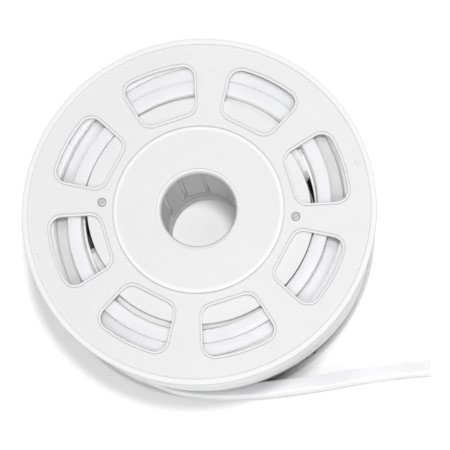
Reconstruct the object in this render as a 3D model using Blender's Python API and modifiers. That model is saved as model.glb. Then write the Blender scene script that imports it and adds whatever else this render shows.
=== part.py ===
"""A plastic reel of LED neon flex that lies flat, with the free end of the flex run out to one side.

Metres, +Z up. The origin is on the reel's axis, at the level of the surface that the reel lies on.
The reel is two windowed flanges screwed to a drum. The flex stands on edge between them, in rows
one above the other, and each row is wound outwards turn on turn.
"""

import math

import bmesh
import bpy

# Neon flex, standing on edge, and how it is wound
FLEX_WIDTH = 0.0080
FLEX_HEIGHT = 0.0120
TURN_COUNT = 4
TOP_ROW_TURN_COUNT = 3
ROW_COUNT = 5
TURN_GAP = 0.0001
ROW_GAP = 0.00016
DRUM_TO_FLEX = 0.0013
TOP_ROW_SET_OUT = 0.0016
TURN_GROOVE_WIDTH = 0.0008
TURN_GROOVE_DEPTH = 0.0015
FLEX_EDGE_CHAMFER = 0.0007

# How the top row has settled: it leans outwards on two sides, and its middle turn has sunk on two others
TOP_ROW_LEAN = 0.0044
TOP_ROW_LEAN_ANGLE = math.radians(60.0)
MIDDLE_TURN_SINK = 0.0070
MIDDLE_TURN_SINK_ANGLE = math.radians(-5.5)

# Reel, made to take that winding
DRUM_RADIUS = 0.066
BORE_RADIUS = 0.022
BORE_LIP_WIDTH = 0.0014
TOP_FLANGE_OVERHANG = 0.0053
BOTTOM_FLANGE_OVERHANG = 0.0018
PLATE_THICKNESS = 0.0020
RAISED_HEIGHT = 0.0008
RIM_WIDTH = 0.0036
EDGE_CHAMFER = 0.0006
SEAM_HEIGHT = 0.0187
SEAM_WIDTH = 0.0008
SEAM_DEPTH = 0.0005
COLLAR_WIDTH = 0.0023
COLLAR_THICKNESS = 0.0012

# Sloping slots in the drum's upper edge, in which the flex's inner end comes up
SLOT_COUNT = 2
SLOT_HALF_ANGLE = math.radians(17.0)
SLOT_LOW_DEPTH = 0.0140
SLOT_HIGH_DEPTH = 0.0012
SLOT_LOW_WIDTH = 0.0018
SLOT_HIGH_WIDTH = 0.0046

# Windows in each flange, from inside the drum's edge to inside the outermost turn's edge
WINDOW_COUNT = 8
FIRST_WINDOW_ANGLE = math.radians(17.0)
WINDOW_HALF_ANGLE = math.radians(15.0)
WINDOW_OVER_DRUM = 0.0078
WINDOW_TO_WINDING_EDGE = 0.0111
WINDOW_CORNER_RADIUS = 0.0070
WINDOW_TO_BOSS = 0.0076

# Screws that hold the flanges to the drum, two to a flange
SCREWS_PER_FLANGE = 2
SCREW_TO_DRUM_EDGE = 0.0084
SCREW_HEAD_RADIUS = 0.0024
SCREW_HEAD_HEIGHT = 0.0009
SCREW_SHANK_RADIUS = 0.0014
SCREW_LENGTH = 0.0100
COUNTERBORE_DEPTH = 0.0012
COUNTERBORE_CLEARANCE = 0.0004

# Where the free end leaves the outermost turn of the lowest row
EXIT_ANGLE = math.radians(-112.0)
PEEL_ANGLE = math.radians(50.0)
RAMP_ANGLE = math.radians(40.0)
TAIL_POINT_SPACING = 0.006

# Fits and facets
CLEARANCE = 0.0003
CUT_OVERRUN = 0.0030
ROUND_STEPS = 72
SCREW_STEPS = 24
CORNER_STEPS = 5
ARC_STEPS = 6
WELD_DISTANCE = 0.000001
SHARP_ANGLE = math.radians(30.0)

# Heights and radii that follow from the sizes above
FLANGE_DEPTH = PLATE_THICKNESS + RAISED_HEIGHT
ROW_PITCH = FLEX_HEIGHT + ROW_GAP
PACK_BOTTOM = FLANGE_DEPTH + CLEARANCE
PACK_TOP = PACK_BOTTOM + ROW_COUNT * ROW_PITCH
REEL_HEIGHT = PACK_TOP + CLEARANCE + FLANGE_DEPTH
TOP_ROW_BASE = PACK_TOP - ROW_PITCH
TURN_PITCH = FLEX_WIDTH + TURN_GAP
WINDING_INNER_RADIUS = DRUM_RADIUS + DRUM_TO_FLEX
WINDING_OUTER_RADIUS = WINDING_INNER_RADIUS + TURN_COUNT * TURN_PITCH
TOP_ROW_INNER_RADIUS = WINDING_INNER_RADIUS + TOP_ROW_SET_OUT
COLLAR_RADIUS = DRUM_RADIUS + COLLAR_WIDTH
TOP_FLANGE_RADIUS = WINDING_OUTER_RADIUS + TOP_FLANGE_OVERHANG
BOTTOM_FLANGE_RADIUS = WINDING_OUTER_RADIUS + BOTTOM_FLANGE_OVERHANG
WINDOW_INNER_RADIUS = DRUM_RADIUS - WINDOW_OVER_DRUM
WINDOW_OUTER_RADIUS = WINDING_OUTER_RADIUS - WINDOW_TO_WINDING_EDGE
BOSS_RADIUS = WINDOW_INNER_RADIUS - WINDOW_TO_BOSS
SCREW_CIRCLE_RADIUS = DRUM_RADIUS - SCREW_TO_DRUM_EDGE
SCREW_HOLE_RADIUS = SCREW_SHANK_RADIUS + CLEARANCE
SCREW_ANGLE = FIRST_WINDOW_ANGLE - math.pi / WINDOW_COUNT

# The free end's centre line on plan beyond the reel's edge, chosen by hand
TAIL_PLAN = [
    (-0.0290, -0.0915),
    (-0.0194, -0.0951),
    (-0.0094, -0.0973),
    (0.0020, -0.0984),
    (0.0160, -0.0987),
    (0.0330, -0.0981),
    (0.0500, -0.0964),
    (0.0680, -0.0940),
    (0.0860, -0.0911),
    (0.1040, -0.0884),
    (0.1200, -0.0867),
    (0.1340, -0.0858),
]
TAIL_LIFT_END = 0.040
TAIL_LANDING = 0.110


def new_collection(name):
    collection = bpy.data.collections.new(name)
    bpy.context.scene.collection.children.link(collection)
    return collection


def new_material(name, colour, roughness, metallic):
    material = bpy.data.materials.new(name)
    material.use_nodes = True
    shader = material.node_tree.nodes["Principled BSDF"]
    shader.inputs["Base Color"].default_value = (*colour, 1.0)
    shader.inputs["Roughness"].default_value = roughness
    shader.inputs["Metallic"].default_value = metallic
    return material


def clockwise(profile):
    """The closed outline in the order that turns into a solid facing outwards."""
    area = 0.0
    for (r0, z0), (r1, z1) in zip(profile, profile[1:] + profile[:1]):
        area += r0 * z1 - r1 * z0
    return profile if area < 0 else profile[::-1]


def turned(name, profile, collection, steps=ROUND_STEPS, closed=True):
    """A solid of revolution about Z from an outline of (radius, height) points."""
    points = clockwise(profile) if closed else profile
    last = len(points) if closed else len(points) - 1
    edges = [(i, (i + 1) % len(points)) for i in range(last)]
    mesh = bpy.data.meshes.new(name)
    mesh.from_pydata([(radius, 0.0, height) for radius, height in points], edges, [])
    obj = bpy.data.objects.new(name, mesh)
    collection.objects.link(obj)
    screw = obj.modifiers.new("Turn", "SCREW")
    screw.axis = "Z"
    screw.steps = steps
    screw.render_steps = steps
    screw.use_merge_vertices = True
    screw.merge_threshold = WELD_DISTANCE
    return obj


def evaluated_mesh(obj):
    """A copy of the object's mesh with its modifiers or curve settings applied, and loose caps welded."""
    graph = bpy.context.evaluated_depsgraph_get()
    mesh = bpy.data.meshes.new_from_object(obj.evaluated_get(graph))
    work = bmesh.new()
    work.from_mesh(mesh)
    bmesh.ops.remove_doubles(work, verts=work.verts, dist=WELD_DISTANCE)
    bmesh.ops.recalc_face_normals(work, faces=work.faces)
    work.to_mesh(mesh)
    work.free()
    return mesh


def meshed(curve_object, collection):
    """The curve object made a mesh object of the same name and place."""
    name = curve_object.name
    mesh = evaluated_mesh(curve_object)
    place = curve_object.matrix_world.copy()
    bpy.data.objects.remove(curve_object)
    obj = bpy.data.objects.new(name, mesh)
    obj.matrix_world = place
    collection.objects.link(obj)
    return obj


def poly_curve(name, points, closed, collection):
    """A curve object with one straight-sided spline through 3-D points."""
    curve = bpy.data.curves.new(name, "CURVE")
    spline = curve.splines.new("POLY")
    spline.points.add(len(points) - 1)
    for point, (x, y, z) in zip(spline.points, points):
        point.co = (x, y, z, 1.0)
    spline.use_cyclic_u = closed
    obj = bpy.data.objects.new(name, curve)
    collection.objects.link(obj)
    return obj


def prism(name, outline, bottom, top, collection):
    """A flat outline of (x, y) points given a thickness from bottom to top."""
    obj = poly_curve(name, [(x, y, 0.0) for x, y in outline], True, collection)
    obj.data.dimensions = "2D"
    obj.data.fill_mode = "BOTH"
    obj.data.extrude = (top - bottom) / 2
    obj.location.z = (top + bottom) / 2
    bpy.context.view_layer.update()
    return meshed(obj, collection)


def as_cutter(obj):
    obj.hide_render = True
    obj.display_type = "WIRE"
    return obj


def cut(obj, cutters):
    for cutter in cutters:
        boolean = obj.modifiers.new("Cut " + cutter.name, "BOOLEAN")
        boolean.operation = "DIFFERENCE"
        boolean.object = cutter


def finish(obj, material):
    """Fixes the modifiers into the mesh, shades it smooth between its sharp edges and colours it."""
    bpy.context.view_layer.update()
    mesh = evaluated_mesh(obj)
    obj.modifiers.clear()
    obj.data = mesh
    mesh.name = obj.name
    mesh.materials.clear()
    mesh.materials.append(material)
    mesh.shade_smooth()
    mesh.set_sharp_from_angle(angle=SHARP_ANGLE)


def arc(centre, radius, start, end, steps):
    """Points along an arc, both ends included."""
    angles = [start + (end - start) * i / steps for i in range(steps + 1)]
    return [(centre[0] + radius * math.cos(a), centre[1] + radius * math.sin(a)) for a in angles]


def polar(radius, angle):
    return (radius * math.cos(angle), radius * math.sin(angle))


def window_outline():
    """One window centred on +X: part of a ring between two radial sides, with rounded corners."""
    corner = WINDOW_CORNER_RADIUS
    outer_centre = WINDOW_OUTER_RADIUS - corner
    inner_centre = WINDOW_INNER_RADIUS + corner
    outer_angle = WINDOW_HALF_ANGLE - math.asin(corner / outer_centre)
    inner_angle = WINDOW_HALF_ANGLE - math.asin(corner / inner_centre)
    side = WINDOW_HALF_ANGLE + math.pi / 2
    upper = arc(polar(outer_centre, outer_angle), corner, outer_angle, side, CORNER_STEPS)
    upper += arc(polar(inner_centre, inner_angle), corner, side, inner_angle + math.pi, CORNER_STEPS)
    lower = [(x, -y) for x, y in reversed(upper)]
    inner_side = arc((0, 0), WINDOW_INNER_RADIUS, inner_angle, -inner_angle, ARC_STEPS)
    outer_side = arc((0, 0), WINDOW_OUTER_RADIUS, -outer_angle, outer_angle, ARC_STEPS)
    return upper + inner_side[1:-1] + lower + outer_side[1:-1]


def window_cutters(collection):
    """Eight prisms that pass through both flanges and share one mesh."""
    first = prism(
        "window_cutter_1", window_outline(), -CUT_OVERRUN, REEL_HEIGHT + CUT_OVERRUN, collection
    )
    cutters = [first]
    for index in range(1, WINDOW_COUNT):
        copy = bpy.data.objects.new(f"window_cutter_{index + 1}", first.data)
        copy.location = first.location
        collection.objects.link(copy)
        cutters.append(copy)
    for index, cutter in enumerate(cutters):
        cutter.rotation_euler.z = FIRST_WINDOW_ANGLE + index * math.tau / WINDOW_COUNT
        as_cutter(cutter)
    return cutters


def at_height(profile, upper):
    """The profile as it stands on the top flange, or turned over for the bottom one."""
    return profile if upper else [(radius, REEL_HEIGHT - height) for radius, height in profile]


def screw_places():
    angles = [SCREW_ANGLE + i * math.tau / SCREWS_PER_FLANGE for i in range(SCREWS_PER_FLANGE)]
    return [polar(SCREW_CIRCLE_RADIUS, angle) for angle in angles]


def screw_hole_cutters(side, upper, collection):
    """A counterbore and a through hole for each screw, going on into the drum."""
    face = REEL_HEIGHT - RAISED_HEIGHT
    seat = face - COUNTERBORE_DEPTH
    head_radius = SCREW_HEAD_RADIUS + COUNTERBORE_CLEARANCE
    tip = seat - SCREW_LENGTH - CLEARANCE
    profile = [
        (0.0, face + CUT_OVERRUN),
        (head_radius, face + CUT_OVERRUN),
        (head_radius, seat),
        (SCREW_HOLE_RADIUS, seat),
        (SCREW_HOLE_RADIUS, tip),
        (0.0, tip),
    ]
    if not upper:
        profile = at_height(profile, upper)[::-1]
    cutters = []
    for index, (x, y) in enumerate(screw_places()):
        name = f"{side}_screw_cutter_{index + 1}"
        cutter = turned(name, profile, collection, SCREW_STEPS, closed=False)
        cutter.location = (x, y, 0.0)
        cutters.append(as_cutter(cutter))
    return cutters


def flange(name, radius, upper, cutters, collection, material):
    """A windowed disc with a raised bead at its rim, a raised boss and a chamfered bore."""
    inside = REEL_HEIGHT - FLANGE_DEPTH
    plate = REEL_HEIGHT - RAISED_HEIGHT
    raised = REEL_HEIGHT
    profile = [
        (BORE_RADIUS + BORE_LIP_WIDTH, raised),
        (BOSS_RADIUS - EDGE_CHAMFER, raised),
        (BOSS_RADIUS, plate),
        (radius - RIM_WIDTH, plate),
        (radius - RIM_WIDTH + EDGE_CHAMFER, raised),
        (radius - EDGE_CHAMFER, raised),
        (radius, raised - EDGE_CHAMFER),
        (radius, inside),
        (BORE_RADIUS, inside),
        (BORE_RADIUS, raised - BORE_LIP_WIDTH),
    ]
    obj = turned(name, at_height(profile, upper), collection)
    cut(obj, cutters)
    finish(obj, material)
    return obj


def slot_cutters(collection):
    """Wedges for the slots, each centred on a window, with a floor that climbs anticlockwise."""
    outer = COLLAR_RADIUS + CUT_OVERRUN
    above = PACK_TOP + CUT_OVERRUN
    work = bmesh.new()
    rings = []
    for step in range(ARC_STEPS + 1):
        share = step / ARC_STEPS
        angle = (2 * share - 1) * SLOT_HALF_ANGLE
        inner = COLLAR_RADIUS - SLOT_LOW_WIDTH - share * (SLOT_HIGH_WIDTH - SLOT_LOW_WIDTH)
        floor = PACK_TOP - SLOT_LOW_DEPTH + share * (SLOT_LOW_DEPTH - SLOT_HIGH_DEPTH)
        corners = [(inner, floor), (inner, above), (outer, above), (outer, floor)]
        rings.append([work.verts.new((*polar(radius, angle), height)) for radius, height in corners])
    for first, second in zip(rings, rings[1:]):
        for side in range(4):
            beyond = (side + 1) % 4
            work.faces.new((first[side], first[beyond], second[beyond], second[side]))
    work.faces.new(rings[0])
    work.faces.new(rings[-1])
    bmesh.ops.recalc_face_normals(work, faces=work.faces)
    mesh = bpy.data.meshes.new("slot_cutter")
    work.to_mesh(mesh)
    work.free()
    cutters = []
    for index in range(SLOT_COUNT):
        cutter = bpy.data.objects.new(f"slot_cutter_{index + 1}", mesh)
        cutter.rotation_euler.z = FIRST_WINDOW_ANGLE + index * math.tau / SLOT_COUNT
        collection.objects.link(cutter)
        cutters.append(as_cutter(cutter))
    return cutters


def drum(cutters, collection, material):
    """The cylinder between the flanges, with its bore, its collar and the joint line of its mouldings."""
    seam_bottom = SEAM_HEIGHT - SEAM_WIDTH / 2
    seam_top = SEAM_HEIGHT + SEAM_WIDTH / 2
    profile = [
        (BORE_RADIUS, PACK_TOP),
        (COLLAR_RADIUS, PACK_TOP),
        (COLLAR_RADIUS, PACK_TOP - COLLAR_THICKNESS),
        (DRUM_RADIUS, PACK_TOP - COLLAR_THICKNESS),
        (DRUM_RADIUS, PACK_BOTTOM + EDGE_CHAMFER),
        (DRUM_RADIUS - EDGE_CHAMFER, PACK_BOTTOM),
        (BORE_RADIUS, PACK_BOTTOM),
        (BORE_RADIUS, seam_bottom),
        (BORE_RADIUS + SEAM_DEPTH, seam_bottom),
        (BORE_RADIUS + SEAM_DEPTH, seam_top),
        (BORE_RADIUS, seam_top),
    ]
    obj = turned("drum", profile, collection)
    cut(obj, cutters)
    finish(obj, material)


def screws(side, upper, collection, material):
    """Pan-head screws, each with its head on its counterbore's seat."""
    seat = REEL_HEIGHT - RAISED_HEIGHT - COUNTERBORE_DEPTH + CLEARANCE / 2
    profile = [
        (0.0, seat + SCREW_HEAD_HEIGHT),
        (SCREW_HEAD_RADIUS - EDGE_CHAMFER, seat + SCREW_HEAD_HEIGHT),
        (SCREW_HEAD_RADIUS, seat + SCREW_HEAD_HEIGHT - EDGE_CHAMFER),
        (SCREW_HEAD_RADIUS, seat),
        (SCREW_SHANK_RADIUS, seat),
        (SCREW_SHANK_RADIUS, seat - SCREW_LENGTH + SCREW_SHANK_RADIUS),
        (0.0, seat - SCREW_LENGTH),
    ]
    if not upper:
        profile = at_height(profile, upper)[::-1]
    for index, (x, y) in enumerate(screw_places()):
        name = f"{side}_screw_{index + 1}"
        obj = turned(name, profile, collection, SCREW_STEPS, closed=False)
        obj.location = (x, y, 0.0)
        finish(obj, material)


def end_grooves(inner, count, height, inwards):
    """The lines between turns on one end of the winding, from its inner to its outer turn."""
    points = []
    for turn in range(1, count):
        radius = inner + turn * TURN_PITCH
        points.append((radius - TURN_GROOVE_WIDTH / 2, height))
        points.append((radius, height + inwards * TURN_GROOVE_DEPTH))
        points.append((radius + TURN_GROOVE_WIDTH / 2, height))
    return points


def winding(collection, material):
    """All rows as one turned solid: the turns show on both ends, and the rows on the outer side."""
    top_outer = TOP_ROW_INNER_RADIUS + TOP_ROW_TURN_COUNT * TURN_PITCH
    profile = [(TOP_ROW_INNER_RADIUS, PACK_TOP)]
    profile += end_grooves(TOP_ROW_INNER_RADIUS, TOP_ROW_TURN_COUNT, PACK_TOP, -1)
    profile += [(top_outer, PACK_TOP), (top_outer, TOP_ROW_BASE)]
    profile.append((WINDING_OUTER_RADIUS, TOP_ROW_BASE))
    for row in range(ROW_COUNT - 2, 0, -1):
        height = PACK_BOTTOM + row * ROW_PITCH
        profile.append((WINDING_OUTER_RADIUS, height + TURN_GROOVE_WIDTH / 2))
        profile.append((WINDING_OUTER_RADIUS - TURN_GROOVE_DEPTH, height))
        profile.append((WINDING_OUTER_RADIUS, height - TURN_GROOVE_WIDTH / 2))
    profile.append((WINDING_OUTER_RADIUS, PACK_BOTTOM))
    profile += end_grooves(WINDING_INNER_RADIUS, TURN_COUNT, PACK_BOTTOM, 1)[::-1]
    profile += [(WINDING_INNER_RADIUS, PACK_BOTTOM), (WINDING_INNER_RADIUS, TOP_ROW_BASE)]
    profile.append((TOP_ROW_INNER_RADIUS, TOP_ROW_BASE))
    obj = turned("neon_flex_winding", profile, collection)
    settle_top_row(obj)
    return obj


def two_sided(angle, middle):
    """1 at the middle angle and opposite it, and 0 a quarter turn away."""
    return 0.5 + 0.5 * math.cos(2 * (angle - middle))


def settle_top_row(obj):
    """Leans the top row's upper side outwards, and sinks its middle turn with the lines on both its sides."""
    bpy.context.view_layer.update()
    mesh = evaluated_mesh(obj)
    obj.modifiers.clear()
    obj.data = mesh
    first_line = TOP_ROW_INNER_RADIUS + TURN_PITCH - TURN_GROOVE_WIDTH / 4
    last_line = TOP_ROW_INNER_RADIUS + (TOP_ROW_TURN_COUNT - 1) * TURN_PITCH + TURN_GROOVE_WIDTH / 4
    for vertex in mesh.vertices:
        if vertex.co.z < TOP_ROW_BASE + CLEARANCE:
            continue
        angle = math.atan2(vertex.co.y, vertex.co.x)
        radius = math.hypot(vertex.co.x, vertex.co.y)
        if first_line < radius < last_line:
            vertex.co.z -= MIDDLE_TURN_SINK * two_sided(angle, MIDDLE_TURN_SINK_ANGLE)
        radius += TOP_ROW_LEAN * two_sided(angle, TOP_ROW_LEAN_ANGLE)
        vertex.co.x, vertex.co.y = polar(radius, angle)


def peel_cutter(collection):
    """The room in the lowest row where its outermost turn has come away, down to the turn below.

    It starts square at the exit, and ends in a ramp where the turn below climbs to the outermost one.
    """
    floor_radius = WINDING_OUTER_RADIUS - TURN_PITCH
    outside = WINDING_OUTER_RADIUS + CUT_OVERRUN
    ramp_start = EXIT_ANGLE + PEEL_ANGLE
    ramp_end = ramp_start + RAMP_ANGLE
    outline = arc((0, 0), outside, EXIT_ANGLE, ramp_end, 2 * ARC_STEPS)
    for step in range(ARC_STEPS + 1):
        share = step / ARC_STEPS
        radius = WINDING_OUTER_RADIUS - share * TURN_PITCH
        outline.append(polar(radius, ramp_end - share * RAMP_ANGLE))
    outline += arc((0, 0), floor_radius, ramp_start, EXIT_ANGLE, 2 * ARC_STEPS)[1:]
    top = PACK_BOTTOM + ROW_PITCH + CLEARANCE / 2
    return as_cutter(prism("peel_cutter", outline, PACK_BOTTOM - CUT_OVERRUN, top, collection))


def tail_route():
    """The free end's centre line: tangent to the outermost turn, over the flange's rim, then to the floor."""
    start_radius = WINDING_OUTER_RADIUS - TURN_PITCH + CLEARANCE + FLEX_WIDTH / 2
    x, y = polar(start_radius, EXIT_ANGLE)
    along_x, along_y = -math.sin(EXIT_ANGLE), math.cos(EXIT_ANGLE)
    start = (x + CLEARANCE * along_x, y + CLEARANCE * along_y)
    plan = smooth_path([start] + TAIL_PLAN)
    carried = PACK_BOTTOM + FLEX_HEIGHT / 2
    landed = FLEX_HEIGHT / 2
    route = []
    for x, y in plan:
        share = min(max((x - TAIL_LIFT_END) / (TAIL_LANDING - TAIL_LIFT_END), 0.0), 1.0)
        eased = share * share * (3.0 - 2.0 * share)
        route.append((x, y, carried + eased * (landed - carried)))
    return route


def smooth_path(knots):
    """Points about TAIL_POINT_SPACING apart on a smooth curve through the knots."""
    before = (2 * knots[0][0] - knots[1][0], 2 * knots[0][1] - knots[1][1])
    after = (2 * knots[-1][0] - knots[-2][0], 2 * knots[-1][1] - knots[-2][1])
    padded = [before] + knots + [after]
    path = [knots[0]]
    for a, b, c, d in zip(padded, padded[1:], padded[2:], padded[3:]):
        steps = max(1, round(math.dist(b, c) / TAIL_POINT_SPACING))
        for step in range(1, steps + 1):
            path.append(between(a, b, c, d, step / steps))
    return path


def between(a, b, c, d, share):
    """The point at this share of the way from b to c on a Catmull-Rom curve."""
    point = []
    for p0, p1, p2, p3 in zip(a, b, c, d):
        slope = (p2 - p0) * share
        curve = (2 * p0 - 5 * p1 + 4 * p2 - p3) * share**2
        cubic = (3 * p1 - p0 - 3 * p2 + p3) * share**3
        point.append(p1 + (slope + curve + cubic) / 2)
    return tuple(point)


def tail(collection, helpers, material):
    """The free end as a plain strip on edge, with chamfered corners and square-cut ends."""
    half_width = FLEX_WIDTH / 2
    half_height = FLEX_HEIGHT / 2
    chamfer = FLEX_EDGE_CHAMFER
    quarter = [(half_width, half_height - chamfer), (half_width - chamfer, half_height)]
    upper = quarter + [(-x, y) for x, y in reversed(quarter)]
    section = upper + [(-x, -y) for x, y in upper]
    outline = poly_curve("tail_section", [(x, y, 0.0) for x, y in section], True, helpers)
    outline.data.dimensions = "2D"
    as_cutter(outline)
    obj = poly_curve("neon_flex_tail", tail_route(), False, collection)
    obj.data.dimensions = "3D"
    obj.data.twist_mode = "Z_UP"
    obj.data.bevel_mode = "OBJECT"
    obj.data.bevel_object = outline
    obj.data.use_fill_caps = True
    bpy.context.view_layer.update()
    finish(meshed(obj, collection), material)


def build():
    for obj in list(bpy.data.objects):
        bpy.data.objects.remove(obj)
    parts = new_collection("neon_flex_reel")
    helpers = new_collection("cutters")
    helpers.hide_render = True
    reel_white = new_material("Reel plastic", (0.84, 0.84, 0.84), 0.45, 0.0)
    flex_white = new_material("Flex jacket", (0.90, 0.90, 0.93), 0.50, 0.0)
    screw_steel = new_material("Screw steel", (0.55, 0.55, 0.56), 0.35, 1.0)

    windows = window_cutters(helpers)
    top_holes = screw_hole_cutters("top", True, helpers)
    bottom_holes = screw_hole_cutters("bottom", False, helpers)
    flange("top_flange", TOP_FLANGE_RADIUS, True, windows + top_holes, parts, reel_white)
    flange("bottom_flange", BOTTOM_FLANGE_RADIUS, False, windows + bottom_holes, parts, reel_white)
    drum(top_holes + bottom_holes + slot_cutters(helpers), parts, reel_white)
    screws("top", True, parts, screw_steel)
    screws("bottom", False, parts, screw_steel)

    turns = winding(parts, flex_white)
    cut(turns, [peel_cutter(helpers)])
    finish(turns, flex_white)
    tail(parts, helpers, flex_white)


build()
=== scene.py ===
import math

import bmesh
import bpy
from mathutils import Matrix, Vector


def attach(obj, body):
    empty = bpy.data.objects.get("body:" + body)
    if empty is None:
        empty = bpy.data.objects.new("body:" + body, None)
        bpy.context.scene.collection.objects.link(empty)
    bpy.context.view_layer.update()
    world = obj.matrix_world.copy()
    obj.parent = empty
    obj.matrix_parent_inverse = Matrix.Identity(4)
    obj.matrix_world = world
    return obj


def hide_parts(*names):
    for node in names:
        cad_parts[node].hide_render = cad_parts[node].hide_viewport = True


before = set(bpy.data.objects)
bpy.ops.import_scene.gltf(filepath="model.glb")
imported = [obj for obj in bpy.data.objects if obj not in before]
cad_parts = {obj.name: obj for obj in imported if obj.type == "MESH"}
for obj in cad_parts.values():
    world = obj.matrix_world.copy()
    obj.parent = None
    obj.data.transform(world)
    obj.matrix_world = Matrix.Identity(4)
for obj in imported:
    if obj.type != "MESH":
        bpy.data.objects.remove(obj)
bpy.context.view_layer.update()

# The photograph was taken from high above the reel, a little to its near side and to the right,
# through a long lens.
camera_data = bpy.data.cameras.new("photo_camera")
camera_data.lens = 207.5
camera_data.clip_start = 0.05
camera = bpy.data.objects.new("photo_camera", camera_data)
camera.location = (0.1451, -0.3711, 1.5388)
camera.rotation_euler = (math.radians(13.73), math.radians(5.02), 0.0)
bpy.context.collection.objects.link(camera)
bpy.context.scene.camera = camera

# The free end of the flex. The jacket is milky silicone, extruded round a light strip, 8 mm across and
# 12 mm high, with its light face up. It leaves the outermost turn of the lowest row, passes over the
# lower flange's rim, comes down to the floor and ends in a square cut.
FLEX_WIDTH = 0.0080
FLEX_HEIGHT = 0.0120
LIGHT_FACE_ROUNDING = 0.0009
FOOT_ROUNDING = 0.0005
LIGHT_FACE_CROWN = 0.00012
CORNER_STEPS = 4
EXIT_ANGLE = math.radians(-112.0)
EXIT_RADIUS = 0.0959
EXIT_GAP = 0.0003
TAIL_PLAN = [
    (-0.0290, -0.0915),
    (-0.0194, -0.0951),
    (-0.0094, -0.0973),
    (0.0020, -0.0984),
    (0.0160, -0.0987),
    (0.0330, -0.0981),
    (0.0500, -0.0964),
    (0.0680, -0.0940),
    (0.0860, -0.0911),
    (0.1040, -0.0884),
    (0.1200, -0.0867),
    (0.1339, -0.0858),
]
TAIL_CARRIED_HEIGHT = 0.0031
TAIL_LIFT_END = 0.040
TAIL_LANDING = 0.110
TAIL_POINT_SPACING = 0.005
LEVEL_NORMAL = 0.99999
SHARP_ANGLE = math.radians(42.0)


def jacket_outline():
    """The jacket cut across, anticlockwise from its outer foot, with a slightly crowned light face."""
    corners = [
        (1, -1, FOOT_ROUNDING, -90),
        (1, 1, LIGHT_FACE_ROUNDING, 0),
        (-1, 1, LIGHT_FACE_ROUNDING, 90),
        (-1, -1, FOOT_ROUNDING, 180),
    ]
    outline = []
    for side, end, rounding, first_angle in corners:
        across = side * (FLEX_WIDTH / 2 - rounding)
        crown = LIGHT_FACE_CROWN if end > 0 else 0.0
        up = end * (FLEX_HEIGHT / 2 - rounding) - crown
        for step in range(CORNER_STEPS + 1):
            angle = math.radians(first_angle + 90 * step / CORNER_STEPS)
            outline.append((across + rounding * math.cos(angle), up + rounding * math.sin(angle)))
        if (side, end) == (1, 1):
            for share in (0.5, 0.0, -0.5):
                height = FLEX_HEIGHT / 2 - LIGHT_FACE_CROWN * share**2
                outline.append((share * (FLEX_WIDTH / 2 - rounding), height))
    return outline


def add_run(work, uv_layer, shade_layer, path, closed, leans=None, sunk_shade=None):
    """One run of jacket along its path, upright or leaning outwards, with painted shade where given.

    Its UV is the girth and the run in metres.
    """
    outline = jacket_outline()
    count = len(path)
    girth = [0.0]
    for (x0, z0), (x1, z1) in zip(outline, outline[1:] + outline[:1]):
        girth.append(girth[-1] + math.hypot(x1 - x0, z1 - z0))
    rings = []
    run = [0.0]
    for index, point in enumerate(path):
        before = path[index - 1] if closed or index else point
        after = path[(index + 1) % count] if closed or index < count - 1 else point
        outward = Vector((after.y - before.y, before.x - after.x, 0.0)).normalized()
        lean = leans[index] / FLEX_HEIGHT if leans else 0.0
        ring = []
        for x, z in outline:
            aside = x + lean * (z + FLEX_HEIGHT / 2)
            vertex = work.verts.new(point + outward * aside + Vector((0.0, 0.0, z)))
            # How much darker this point is painted, as painted shade.
            vertex[shade_layer] = sunk_shade[index] if sunk_shade else 0.0
            ring.append(vertex)
        rings.append(ring)
        run.append(run[-1] + (path[(index + 1) % count] - point).length)
    for index in range(count if closed else count - 1):
        first, second = rings[index], rings[(index + 1) % count]
        for side in range(len(outline)):
            beyond = (side + 1) % len(outline)
            face = work.faces.new((first[side], first[beyond], second[beyond], second[side]))
            places = [(side, index), (side + 1, index), (side + 1, index + 1), (side, index + 1)]
            for loop, (across, along) in zip(face.loops, places):
                loop[uv_layer].uv = (girth[across], run[along])
    if not closed:
        for ring in (rings[0], rings[-1]):
            face = work.faces.new(ring)
            for loop, (x, z) in zip(face.loops, outline):
                loop[uv_layer].uv = (x, z)


def smooth_by_area(piece):
    """Shades the piece smooth, with its level faces kept flat and its sharp edges kept sharp."""
    for polygon in piece.data.polygons:
        polygon.use_smooth = abs(polygon.normal.z) < LEVEL_NORMAL
    piece.data.set_sharp_from_angle(angle=SHARP_ANGLE)
    weighting = piece.modifiers.new("Flat faces", "WEIGHTED_NORMAL")
    weighting.keep_sharp = True
    weighting.weight = 100
    bpy.context.view_layer.update()
    graph = bpy.context.evaluated_depsgraph_get()
    shaded = bpy.data.meshes.new_from_object(piece.evaluated_get(graph))
    piece.modifiers.remove(weighting)
    piece.data = shaded


def finished_piece(name, work, material, replaced):
    """Makes the bmesh a smooth-shaded piece that stands for CAD nodes and rides on the reel."""
    bmesh.ops.recalc_face_normals(work, faces=work.faces)
    mesh = bpy.data.meshes.new(name)
    work.to_mesh(mesh)
    work.free()
    mesh.materials.append(material)
    piece = bpy.data.objects.new(name, mesh)
    bpy.context.collection.objects.link(piece)
    smooth_by_area(piece)
    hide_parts(*replaced)
    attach(piece, "root")
    return piece


def flex_piece(name, runs, material, replaced):
    work = bmesh.new()
    uv_layer = work.loops.layers.uv.new("jacket")
    # Painted shade on each point, read by the jacket material.
    shade_layer = work.verts.layers.float.new("sunk_shade")
    for run in runs:
        add_run(work, uv_layer, shade_layer, *run)
    return finished_piece(name, work, material, replaced)


def between(a, b, c, d, share):
    """The point at this share of the way from b to c on a Catmull-Rom curve."""
    slope = (c - a) * share
    curve = (2 * a - 5 * b + 4 * c - d) * share**2
    cubic = (3 * b - a - 3 * c + d) * share**3
    return b + (slope + curve + cubic) / 2


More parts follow.
